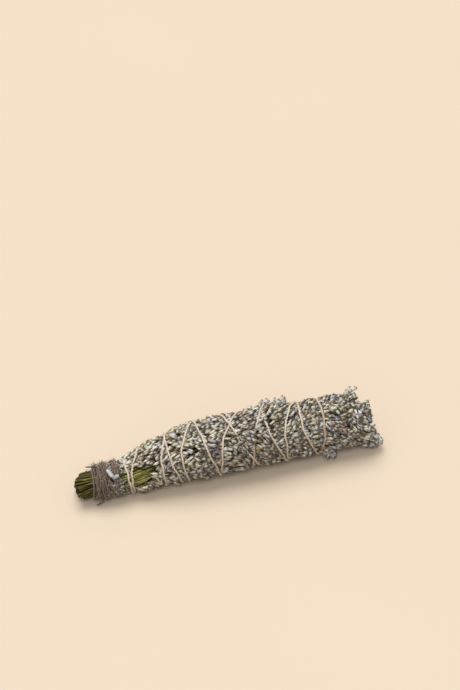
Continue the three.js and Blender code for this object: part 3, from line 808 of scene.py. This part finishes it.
def band_path(start, end, turns, radius, wave, phase, first_angle):
    """Turns round the stems between two distances, each a little out of line with the next."""
    t = np.arange(0, turns + 1e-6, BAND_STEP)
    a = first_angle - t * 2 * np.pi
    s = start + (end - start) * t / turns + wave * np.sin(a + phase + waves(t, BAND_SWAY))
    wider = np.interp(s, BAND_WIDENS, (0, 1)) * (1 + np.cos(a - math.radians(BAND_HIGH))) * BAND_WIDER
    r = radius + wider + waves(t, [(*ripple, phase) for ripple in BAND_RIPPLE])
    return place(s, over_surface(r, s, a, TWINE_RADIUS), a)


def tail_path(points):
    """A cut tail of the string through places (s, r, a)."""
    s, r, a = (np.array(v, float) for v in zip(*points))
    t = np.linspace(0, 1, len(points))
    fine = np.linspace(0, 1, TAIL_POINTS)
    tail = place(*(np.interp(fine, t, v) for v in (s, r, np.radians(a))))
    return ((tail + np.roll(tail, 1, 0) + np.roll(tail, -1, 0)) / 3)[1:-1]


def make_twine():
    string = twine_finish("twine_fibre", STRING, STRING_STAIN_AND_SHADE)
    worn = twine_finish("worn_twine", WORN_STRING, WORN_STAIN_AND_SHADE)
    heap = Heap()
    path = string_path()
    length = add_cord(heap, path, CORD_RADIUS, 0, string_tone())
    add_fibres(heap, path, *STRING_FIBRES, 0, 0.1)
    band_length = 0.0
    for turns in BAND_TURNS:
        path = band_path(*turns)
        radius = BAND_CORD * uniform(0.85, 1.15)
        band_length += add_cord(heap, path, radius, 1, uniform(0, 0.6), BAND_PITCH)
        add_fibres(heap, path, *BAND_FIBRES, 1, 0.0)
    for tail in (LONG_TAIL, SHORT_TAIL):
        band_length += add_cord(heap, tail_path(tail), BAND_CORD, 1, 0.2)
    print("twine length, mm:", round(length), "on the flowers and", round(band_length), "in the band")
    piece = heap.piece("natural_twine", [string, worn])
    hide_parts("twine")
    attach(piece, "root")


# Stems


def add_stem(heap, ring, a, i):
    """One stem from its cut end to inside the flowers; together the cut ends make an uneven face."""
    outer = ring / STEM_RINGS[0][0]
    seen_at = ring * 1.05 * math.sin(a - math.radians(FACING))
    start = np.interp(seen_at, *zip(*CUT_SHAPE)) + uniform(-0.45, 0.45)
    s = np.array([start, start + 1.2, *STEM_STATIONS])
    core = np.maximum(CORE_RADIUS, radius_at(s) - SPIKE_DEPTH - CORE_GAP) - 0.25
    fan = np.where(s < BAND_END, 1.0, core / 9.1)
    bare = np.clip((BARE_END - s) / 11, 0, 1)
    r = ring * fan * (1 + 0.05 * bare * outer) + uniform(-1.2, 0.3) + 0.15 * np.sin(s * 0.11 + i)
    r = np.minimum(r, np.where((s > 8) & (s < 31), STEMS_IN_BAND, FAR))
    gap = 0.17 * bare * np.tanh(5 * math.sin(a - math.radians(FRONT))) * outer
    wander = 0.02 * np.sin(s * 0.05 + i * 2.1) * (1 if ring > 5 else 3)
    cut = np.zeros(len(s) * STEM_SIDES + 2)
    cut[-2] = 1
    radius = STEM_RADIUS * uniform(0.72, 1.08)
    path = place(s, r, a + wander + gap)
    add_tube(heap, path, radius, 0, STEM_SIDES, STEM_CORNERS, uniform(0, np.pi),
             tone=uniform(0, 1) ** 1.5, cut=cut, fresh=uniform(0, 0.35))


def add_shown_stem(heap, i):
    """One of the fresh green stems that show between the flowers."""
    degrees = np.interp(i, [0, SHOWN_STEMS - 1], [WINDOW["low"] + 3, WINDOW["high"] - 3])
    s = np.linspace(30, WINDOW["to"], 9)
    r = np.interp(s, *zip(*SHOWN_PATH)) + uniform(-1.6, 0.6)
    a = math.radians(degrees) + np.linspace(0, uniform(-0.1, 0.06), len(s))
    add_tube(heap, place(s, r, a), 0.95, 0, STEM_SIDES, STEM_CORNERS, 0.4 * i,
             tone=uniform(0, 0.4), cut=0.0, fresh=1.0)


def add_short_stem(heap, i):
    """One of the stems round the bundle whose lower end shows just past the band."""
    s = np.linspace(30, uniform(44, 58), 7)
    r = radius_at(s) - np.interp(np.linspace(0, 1, len(s)), *zip(*SHORT_DEPTHS))
    a = (i + uniform(-0.3, 0.3)) / SHORT_STEMS * 2 * np.pi
    r = over_surface(np.minimum(r, roof_under_twine(a + 0 * s, s) - 0.8), s, a, 1.0)
    add_tube(heap, place(s, r, a), 0.75, 0, 6, STEM_CORNERS, 0.4 * i,
             tone=uniform(0, 0.5), cut=0.0, fresh=0.8)


def make_stems():
    heap = Heap()
    for ring, count in STEM_RINGS:
        for i in range(count):
            add_stem(heap, ring, (i + uniform(-0.25, 0.25)) / count * 2 * np.pi, i)
    for i in range(SHOWN_STEMS):
        add_shown_stem(heap, i)
    for i in range(SHORT_STEMS):
        add_short_stem(heap, i)
    piece = heap.piece("cut_stems", [stem_finish()])
    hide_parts("stem_bundle")
    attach(piece, "root")


# Bits of dry leaf and loose calyces on the band


def flat_directions(a, turn):
    """Directions that lie flat on the bundle at angles a, turned from its length."""
    return np.cos(turn)[..., None] * AHEAD + np.sin(turn)[..., None] * sideways_at(a)


def add_chips(heap):
    """Flat chips of leaf, placed one by one."""
    for s, degrees, length, width, turn in LEAF_CHIPS:
        angle = math.radians(degrees)
        out = outward_at(angle)
        along = flat_directions(angle, math.radians(turn))
        points = CHIP["points"]
        chip = place(s, CHIP_RADIUS, angle) + (
            points[:, 2:] * length * along + points[:, 1:2] * out
            + points[:, :1] * width * np.cross(out, along)
        )
        heap.add(chip, CHIP["faces"], 0, tone=0.0)


def add_leaf_bits(heap, count):
    s = RANDOM.triangular(18, 30, 33, count)
    a = np.radians(uniform(30, 215, count))
    directions = flat_directions(a, uniform(0, 2 * np.pi, count))
    origins = place(s, uniform(12.0, 12.9, count), a)
    scatter(heap, BRACT, origins, directions, uniform(2, 4.2, count), uniform(0.5, 1.1, count), 1,
            tone=uniform(0, 0.7, count))


def add_loose_calyces(heap, count):
    s = RANDOM.triangular(21, 32, 34, count)
    a = np.radians(uniform(20, 205, count))
    directions = flat_directions(a, normal(0, 0.7, count))
    origins = place(s - 3, uniform(11.4, 12.6, count), a)
    scatter(heap, CLOSED_CALYX, origins, directions + 0.15 * outward_at(a), uniform(3.6, 5.4, count),
            uniform(0.65, 0.95, count), 2, tone=uniform(0.1, 0.75, count),
            blue=uniform(0, 0.9, count), straw=uniform(0, 0.5, count),
            violet=uniform(0, 0.35, count))


def make_leaf_bits():
    heap = Heap()
    add_chips(heap)
    add_leaf_bits(heap, BITS_ON_BAND)
    add_loose_calyces(heap, LOOSE_CALYCES)
    pale = simple_finish("pale_leaf", PALE_LEAF, 900, 0.8)
    dull = simple_finish("dull_leaf", DULL_LEAF, 900, 0.85)
    piece = heap.piece("leaf_bits", [pale, dull, calyx_finish("loose_calyx")])
    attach(piece, "root")


# The room of each flower spike


def room_along(node):
    """From what distance to what distance a node's spike has room."""
    low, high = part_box(node)
    return low.x / MM + ORIGIN[0] - NODE_GAP, high.x / MM + ORIGIN[0] + NODE_GAP


def outer_wedges():
    """The room of each outer spike, read from the frame's nodes."""
    rows = {}
    for node in frame["nodes"]:
        if node.startswith("spike_"):
            _, column, row = node.split("_")
            rows.setdefault(int(column), []).append(int(row))
    for column in sorted(rows):
        angle = math.radians(FIRST_COLUMN + 360 / COLUMNS * (column - 1))
        lowest = math.sin(angle) < -math.cos(math.radians(FLAT_WITHIN))
        for row in sorted(rows[column]):
            node = f"spike_{column:02d}_{row}"
            start, end = room_along(node)
            key = (column - 1, row)
            yield node, {
                "from": start, "to": end - TRIMS.get(key, 0), "angle": angle, "half": math.pi / COLUMNS,
                "floor": floor_at, "roof": radius_at, "press": FLAT_CUT if lowest else 0,
                "stray": STRAYS.get(key, NO_STRAY), "heads": HEADS.get(key, []),
                "last": row == max(rows[column]), "inner": False,
            }


def level(radius):
    """A radius that is the same at every distance."""
    return lambda s: radius + 0 * s


def inner_roof(s):
    return floor_at(s) - INNER_ROOM


def inner_wedges():
    """The rooms inside, seen only from the flower end; the last one is the middle spike's."""
    for i in range(INNER_SPIKES + 1):
        in_middle = i == INNER_SPIKES
        node = "middle_spike" if in_middle else f"inner_spike_{i + 1}"
        start, end = room_along(node)
        yield node, {
            "from": start, "to": end, "angle": i / INNER_SPIKES * 2 * math.pi,
            "half": math.pi if in_middle else math.pi / INNER_SPIKES,
            "floor": level(MIDDLE_FLOOR if in_middle else INNER_FLOOR),
            "roof": level(MIDDLE_ROOF) if in_middle else inner_roof,
            "press": 0, "stray": NO_STRAY, "heads": [], "last": True, "inner": True,
        }


def roof_of(wedge, s):
    """The outline over a wedge, curving in where its column ends."""
    roof = wedge["roof"](s) - wedge["press"]
    if wedge["last"]:
        floor = wedge["floor"](s)
        over = np.clip((s - wedge["to"] + END_ROUND) / END_ROUND, 0, 1)
        roof = floor + (roof - floor) * (1 - END_FALL + END_FALL * np.sqrt(1 - over**2))
    return roof


# Calyces


def patches(s, a, spots):
    """The sum over spots of their bell shapes, each times its last number if it has five."""
    total = np.zeros(np.shape(s))
    for spot_s, spot_a, wide_s, wide_a, *height in spots:
        turn = (np.degrees(a) - spot_a + 180) % 360
        total += bell(s, spot_s, wide_s) * bell(turn, 180, wide_a) * (height[0] if height else 1)
    return total


def calyx_places(wedge):
    """Distance, angle from the wedge's middle and depth of every calyx tip."""
    places = []
    for depth in LAYERS + (END_LAYERS if wedge["last"] else ()):
        wider_along, wider_across = WIDER_BENEATH if depth else (1, 1)
        first = wedge["to"] - END_DEPTH if depth in END_LAYERS else wedge["from"] + FIRST_ROW
        for k, s in enumerate(np.arange(wedge["to"] - LAST_ROW, first, -ROW_STEP * wider_along)):
            radius = max(1.5, float(roof_of(wedge, s)) - depth)
            count = max(2, round(2 * radius * wedge["half"] / (CALYX_GAP * wider_across)))
            across = (np.arange(count) + 0.25 + 0.5 * (k % 2)) / count * 2 - 1
            places.append(np.stack([np.full(count, s), across * wedge["half"], np.full(count, depth)], 1))
    s, turn, depth = np.concatenate(places).T
    s = s + normal(0, STRAY_FROM_ROW[0], len(s))
    turn = turn + normal(0, STRAY_FROM_ROW[1], len(s)) / roof_of(wedge, s)
    s = np.clip(s, wedge["from"] + FIRST_ROW, wedge["to"])
    return s, np.clip(turn, -wedge["half"], wedge["half"]), depth


def is_kept(s, a, depth):
    """Which calyces stay: fewer of them near the band, and none where the green stems show."""
    density = np.interp(s, SPARSE, [SPARSE_SHARE, 1.0]) * np.where(depth > 0, DENSITY_BENEATH, DENSITY)
    kept = uniform(size=len(s)) < density
    degrees = np.degrees(a) % 360
    ragged = uniform(-RAGGED, RAGGED, len(s))
    in_window = (s > WINDOW["from"] + ragged) & (s < WINDOW["to"] + ragged)
    in_window &= (degrees > WINDOW["low"] + 2 * ragged) & (degrees < WINDOW["high"] + 2 * ragged)
    astray = uniform(size=len(s)) < np.interp(s, LAST_ASTRAY, [ASTRAY_SHARE, 0])
    return kept & (~in_window | astray)


def bunch_values(wedge, s, turn):
    """Random values that the calyces of a bunch have in common, one array for each spread."""
    radius = float(roof_of(wedge, wedge["to"] - 10))
    area = (wedge["to"] - wedge["from"]) * 2 * wedge["half"] * radius
    count = max(2, round(area / BUNCH_AREA))
    middle_s = uniform(wedge["from"], wedge["to"], count)
    middle_turn = uniform(-wedge["half"], wedge["half"], count)
    away = (s[:, None] - middle_s) ** 2 * BUNCH_STRETCH + ((turn[:, None] - middle_turn) * radius) ** 2
    nearest = np.argmin(away, axis=1)
    return [normal(0, spread, count)[nearest] for spread in BUNCH_SPREADS]


def leaning(s, a, stands_out, bunch_yaw, bunch_lean):
    """How much of each calyx's direction is forward, outward and sideways."""
    lean = LEAN + bunch_lean + normal(0, LEAN_SPREAD, len(s)) + STRAY_LEAN * stands_out
    lean = np.radians(np.clip(lean, *LEAN_LIMITS))
    flow = sum(high * np.sin(s * along + around * a + phase) for high, along, around, phase in FLOW)
    yaw = np.radians(flow + patches(s, a, LEAN_PATCHES) + bunch_yaw + normal(0, YAW_SPREAD, len(s)))
    return np.cos(lean) * np.cos(yaw), np.sin(lean), np.cos(lean) * np.sin(yaw)


def shingle(wedge, s):
    """Spikes overlap like shingles, higher at the tip and lower at the foot."""
    (rise, rise_over), (fall, fall_over) = SHINGLE_TIP, SHINGLE_FOOT
    return (rise * np.clip((s - wedge["to"] + rise_over) / rise_over, 0, 1)
            - fall * np.clip((wedge["from"] + fall_over - s) / fall_over, 0, 1))


def press_under_twine(a, s, tips, forward, lengths, radii, outward):
    """How far each calyx has to move in so that it passes under the string."""
    move = np.zeros(len(s))
    for share, thick in PRESSED_AT:
        height = tips - share * lengths * outward + thick * radii
        move = np.maximum(move, height - roof_under_twine(a, s - share * lengths * forward))
    return np.clip(move, 0, PRESS_LIMIT)


def calyx_values(wedge, s, a, depth, bunch_tone, bunch_hue, slot):
    """The shade and hues of each calyx, paler on the bundle's top as painted light and darker beneath as
    painted shade, and which of them are violet.
    """
    count = len(s)
    blue_share, straw_share, violet_share = SHARES[slot]
    # painted light: calyces round the top of the bundle are made paler
    painted_top_light = TOP_PAINTED_LIGHT[0] * bell(np.degrees(a), *TOP_PAINTED_LIGHT[1:])
    tone = normal(*TONE, count) + bunch_tone + painted_top_light - PAINTED_SHADE_BENEATH * (depth > 0)
    chance = (VIOLET_BASE + VIOLET_IN_PATCH * patches(s, a, VIOLET_PATCHES)) * violet_share
    is_violet = uniform(size=count) < chance
    blue_chance = blue_share + growing(s, BLUER_AT_END) + BUNCH_HUE * bunch_hue
    straw_chance = straw_share - BUNCH_HUE * bunch_hue
    near_end = np.clip((s - wedge["to"] + END_DEPTH) / PALES_OVER, 0, 1) * wedge["last"]
    return {
        "tone": np.clip(tone, 0, 1),
        "blue": (uniform(size=count) < blue_chance) * uniform(*BLUE_AMOUNT, count),
        "straw": (uniform(size=count) < straw_chance) * uniform(*STRAW_AMOUNT, count),
        "violet": np.where(
            is_violet, uniform(*VIOLET_AMOUNT, count), uniform(*FAINT_VIOLET, count)
        ),
        # painted shade: calyces beneath the outer ones are darkened, less near the end of a column
        "deep": (depth > 0) * uniform(*PAINTED_DEEP_SHADE_AMOUNT, count) * (1 - PAINTED_SHADE_LOST_AT_END[wedge["inner"]] * near_end),
    }, is_violet


# Flower spikes


def make_spike(name, wedge, finishes, slot):
    heap = Heap()
    s, turn, depth = calyx_places(wedge)
    a = wedge["angle"] + turn
    kept = is_kept(s, a, depth) | wedge["inner"]
    s, turn, depth, a = s[kept], turn[kept], depth[kept], a[kept]
    count = len(s)
    roof = roof_of(wedge, s)
    lengths = uniform(*CALYX_LENGTH, count)
    radii = uniform(*CALYX_RADIUS, count) * (1 + growing(s, LARGER_AT_END))

    bunch_yaw, bunch_lean, bunch_tone, bunch_height, bunch_hue = bunch_values(wedge, s, turn)
    stray_length, stray_out, stray_width = wedge["stray"]
    to_tip = np.clip((s - wedge["to"] + stray_length) / stray_length, 0, 1)
    narrow = bell(turn * roof, 0, stray_width)
    forward, outward, sideways = leaning(s, a, stray_out * to_tip * narrow, bunch_yaw, bunch_lean)

    crest = np.maximum(0.1, radii - 0.5 * lengths * outward)
    tips = roof + CALYX_RISE + shingle(wedge, s) - depth - uniform(0, CALYX_SINK, count) - crest
    deeper = np.where(bunch_height < 0, 1 + growing(s, DEEPER_AT_END), 1)
    tips = tips + np.clip(bunch_height, *HOLLOWS) * deeper + stray_out * to_tip**2 * narrow
    if not wedge["inner"]:
        tips = tips - press_under_twine(a, s, tips, forward, lengths, radii, outward)

    directions = (
        forward[:, None] * AHEAD + outward[:, None] * outward_at(a) + sideways[:, None] * sideways_at(a)
    )
    origins = place(s, tips, a) - directions * lengths[:, None]

    values, is_violet = calyx_values(wedge, s, a, depth, bunch_tone, bunch_hue, slot)
    hidden = (depth > 0) | (np.sin(a) < HIDDEN_SIDE)
    is_open = ~hidden & (uniform(size=count) < OPEN_SHARE + OPEN_AT_TIP * to_tip)
    closed = ~hidden & ~is_open
    for template, chosen in ((OPEN_CALYX, is_open), (CLOSED_CALYX, closed), (PLAIN_CALYX, hidden)):
        scatter(heap, template, origins[chosen], directions[chosen], lengths[chosen], radii[chosen], 0,
                CALYX_BEND, **{key: value[chosen] for key, value in values.items()})
    for foot, tip in wedge["heads"]:
        add_head(heap, foot, tip, SHARES[slot])
    flowering = is_open & (uniform(size=count) < np.where(is_violet, *PETAL_SHARES))
    scatter(heap, COROLLA, origins[flowering], directions[flowering], lengths[flowering] * PETAL_LENGTH,
            radii[flowering] * PETAL_RADIUS, 2, tone=uniform(0, 1, int(flowering.sum())))
    add_bracts(heap, origins, directions, lengths)
    add_stalk_bits(heap, wedge, tips, s, a)
    add_stalk(heap, wedge)
    piece = heap.piece(name, finishes)
    return piece


def add_head(heap, foot, tip, shares):
    """The end of a spike that pokes out: whorls of calyces, the last ones at its very tip."""
    (foot_s, foot_r, foot_a), (tip_s, tip_r, tip_a) = foot, tip
    end = place(tip_s, tip_r, math.radians(tip_a))
    along = unit(end - place(foot_s, foot_r, math.radians(foot_a)))
    side = unit(np.cross(along, SLANTED))
    other = np.cross(along, side)
    for back, count, spread in HEAD_WHORLS:
        turn = uniform(0, 2 * np.pi) + np.arange(count) / count * 2 * np.pi
        tilt = np.radians(spread + normal(0, LEAN_SPREAD, count))
        around = np.cos(turn)[:, None] * side + np.sin(turn)[:, None] * other
        directions = np.cos(tilt)[:, None] * along + np.sin(tilt)[:, None] * around
        lengths = uniform(*HEAD_LENGTH, count)
        radii = uniform(*HEAD_RADIUS, count)
        origins = end - along * back + directions * 0.4
        scatter(heap, OPEN_CALYX, origins, directions, lengths, radii, 0, CALYX_BEND,
                tone=uniform(0.35, 1, count), violet=uniform(0, 0.3, count),
                blue=(uniform(size=count) < shares[0]) * HEAD_HUES["blue"],
                straw=(uniform(size=count) < shares[1]) * HEAD_HUES["straw"])


def add_bracts(heap, origins, directions, lengths):
    """Small brown leaves at the feet of some calyces."""
    chosen = uniform(size=len(origins)) < BRACT_SHARE
    count = int(chosen.sum())
    up = lengths[chosen] * uniform(0, 0.4, count)
    starts = origins[chosen] + directions[chosen] * up[:, None]
    scatter(heap, BRACT, starts, directions[chosen] + normal(0, 0.3, (count, 3)),
            uniform(*BRACT_LENGTH, count), uniform(*BRACT_WIDTH, count), 1,
            tone=uniform(0, 0.8, count))


def add_stalk_bits(heap, wedge, tips, s, a):
    """A few thin dry stalks that lie among the calyces."""
    if wedge["inner"] or wedge["stray"] != NO_STRAY or wedge["heads"] or not len(s):
        return
    for k in RANDOM.choice(len(s), min(len(s), BITS_IN_SPIKE), replace=False):
        reach = uniform(*BIT_LENGTH)
        t = np.linspace(-0.5, 0.5, 6)
        drift = uniform(-BIT_DRIFT, BIT_DRIFT)
        bit_s = np.clip(s[k] - 3 + reach * t, wedge["from"], wedge["to"])
        roof = roof_under_twine(a[k] + 0 * t, bit_s) - 0.3
        radius = np.minimum(tips[k] + 0.25 + 0.5 * np.sin(t * 5), roof)
        add_tube(heap, place(bit_s, radius, a[k] + drift * t), BIT_RADIUS, 4, 5)


def add_stalk(heap, wedge):
    """The stalk inside a spike, half way between its floor and its roof."""
    s = np.linspace(wedge["from"] + STALK_START, wedge["to"] - STALK_STOP, STALK_POINTS)
    r = (roof_of(wedge, s) + wedge["floor"](s)) / 2
    add_tube(heap, place(s, r, wedge["angle"]), STALK_RADIUS, 3, 6)


def make_spikes():
    others = [
        simple_finish("dry_bract", DRY_BRACT, 700, 0.8),
        simple_finish("dry_corolla", DRY_COROLLA, 800, 0.75),
        simple_finish("dry_stalk", DRY_STALK, 500, 0.8),
        simple_finish("dry_stalk_bit", DRY_BIT, 500, 0.8),
    ]
    calyces = {slot: calyx_finish(slot.replace("buds", "calyx")) for slot in SHARES}
    slots = {entry["node"]: entry["material_slot"] for entry in frame["record"]["subparts"]}
    for node, wedge in [*outer_wedges(), *inner_wedges()]:
        piece = make_spike("flowers_" + node, wedge, [calyces[slots[node]], *others], slots[node])
        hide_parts(node)
        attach(piece, "root")


# Floor, light and camera


def make_stage():
    floor = bpy.data.meshes.new("floor")
    corners = [(x * FLOOR_SIZE, y * FLOOR_SIZE, 0) for x, y in ((-1, -1), (1, -1), (1, 1), (-1, 1))]
    floor.from_pydata(corners, [], [(0, 1, 2, 3)])
    finish = Finish("pale_surface", 0.9)
    floor.materials.append(finish.done(finish.ramp(finish.noise(3, 2), SURFACE)))
    obj = new_object("floor", floor)


def make_lights():
    world = bpy.data.worlds.new("studio")
    bpy.context.scene.world = world
    world.use_nodes = True
    background = world.node_tree.nodes["Background"]
    background.inputs["Color"].default_value = SKY_COLOR
    background.inputs["Strength"].default_value = SKY_STRENGTH
    add_sun("softbox", *SOFTBOX)
    add_sun("fill", *FILL)


def direction(azimuth, elevation):
    """The unit vector at an azimuth from +X towards +Y and an elevation, both in degrees."""
    azimuth, elevation = math.radians(azimuth), math.radians(elevation)
    level_part = math.cos(elevation)
    return Vector((math.cos(azimuth) * level_part, math.sin(azimuth) * level_part, math.sin(elevation)))


def add_sun(name, elevation, azimuth, strength, width, color):
    light = bpy.data.lights.new(name, "SUN")
    light.energy = strength
    light.angle = math.radians(width)
    light.color = color
    sun = new_object(name, light)
    sun.rotation_euler = direction(azimuth, elevation).to_track_quat("Z", "Y").to_euler()


def make_camera():
    back = direction(CAMERA_AZIMUTH - 90, CAMERA_ELEVATION)
    data = bpy.data.cameras.new("camera")
    data.lens = CAMERA_LENS
    data.sensor_width = SENSOR_WIDTH
    camera = new_object("camera", data)
    turn = (-back).to_track_quat("-Z", "Y")
    right, up = turn @ Vector((1, 0, 0)), turn @ Vector((0, 1, 0))
    aim = Vector((0, 0, AIM_HEIGHT)) + right * AIM_RIGHT + up * AIM_UP
    camera.location = aim + back * CAMERA_DISTANCE
    camera.rotation_mode = "QUATERNION"
    camera.rotation_quaternion = turn
    bpy.context.scene.camera = camera


make_camera()
make_lights()
make_stage()
make_stems()
make_twine()
make_leaf_bits()
make_spikes()
bpy.context.scene.view_settings.view_transform = "Standard"
